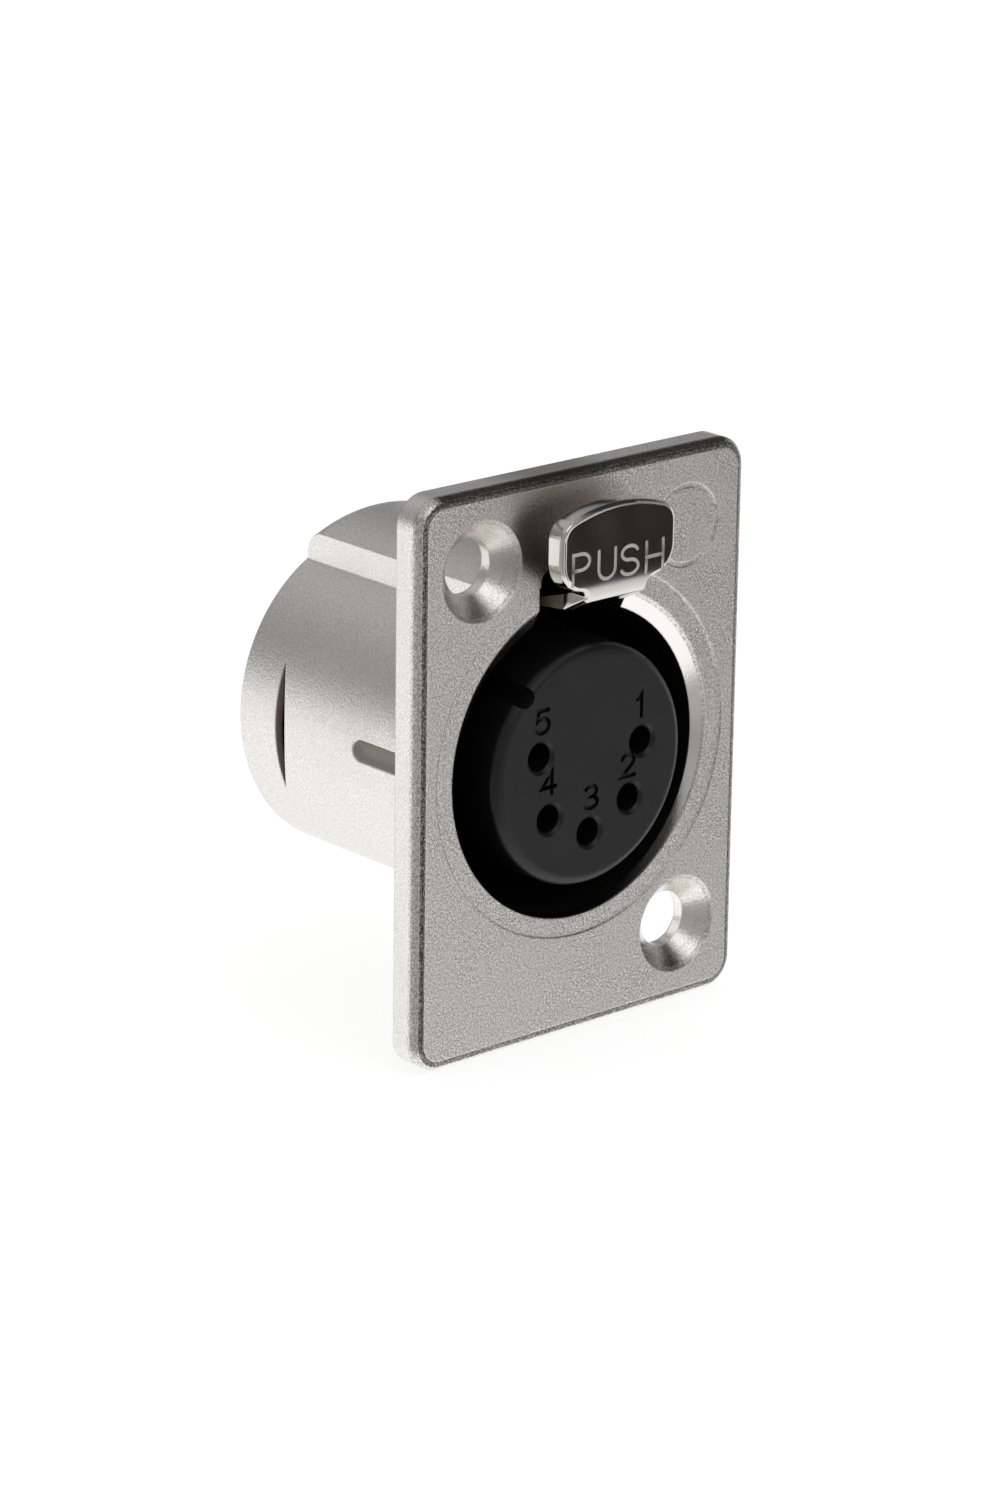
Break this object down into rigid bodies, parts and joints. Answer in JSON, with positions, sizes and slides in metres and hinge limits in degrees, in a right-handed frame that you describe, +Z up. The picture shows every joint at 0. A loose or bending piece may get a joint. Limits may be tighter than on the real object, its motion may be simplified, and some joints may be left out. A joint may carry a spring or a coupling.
{
  "type": "panel socket",
  "caption": "Circular audio panel socket on an upright flange, with a push latch, a black contact insert and solder cups behind.",
  "frame": {"origin": "centre of the flange's back face, midway between the two fixing holes", "axes": "+Y along the barrel, away from the plug; +Z up, with the latch at the top; +X to the right for someone facing the socket"},
  "size_m": [0.026, 0.0279, 0.0356],
  "materials": {
    "cast_metal": "satin nickel plate on a die casting, slightly grainy",
    "latch_metal": "polished nickel plate",
    "insert_plastic": "satin black moulding",
    "contact_metal": "gold flash over nickel",
    "spring_steel": "bright spring steel"
  },
  "bodies": {
    "socket": {"housing": "cast_metal", "latch_guide_pin": "spring_steel", "latch_spring": "spring_steel", "contact_carrier": "insert_plastic", "contact_clamp": "insert_plastic", "contact_1": "contact_metal", "contact_2": "contact_metal", "contact_3": "contact_metal", "contact_4": "contact_metal", "contact_5": "contact_metal", "earth_contact": "spring_steel", "snap_ring": "spring_steel"},
    "latch": {"push_latch": "latch_metal"}
  },
  "joints": [
    {"name": "latch_push", "type": "slide", "parent": "socket", "child": "latch", "axis": [0, 0.8944, 0.4472], "range_m": [0, 0.00123], "stiffness_N_per_m": 900, "springref_m": -0.0015, "deforming": ["latch_spring"]}
  ]
}
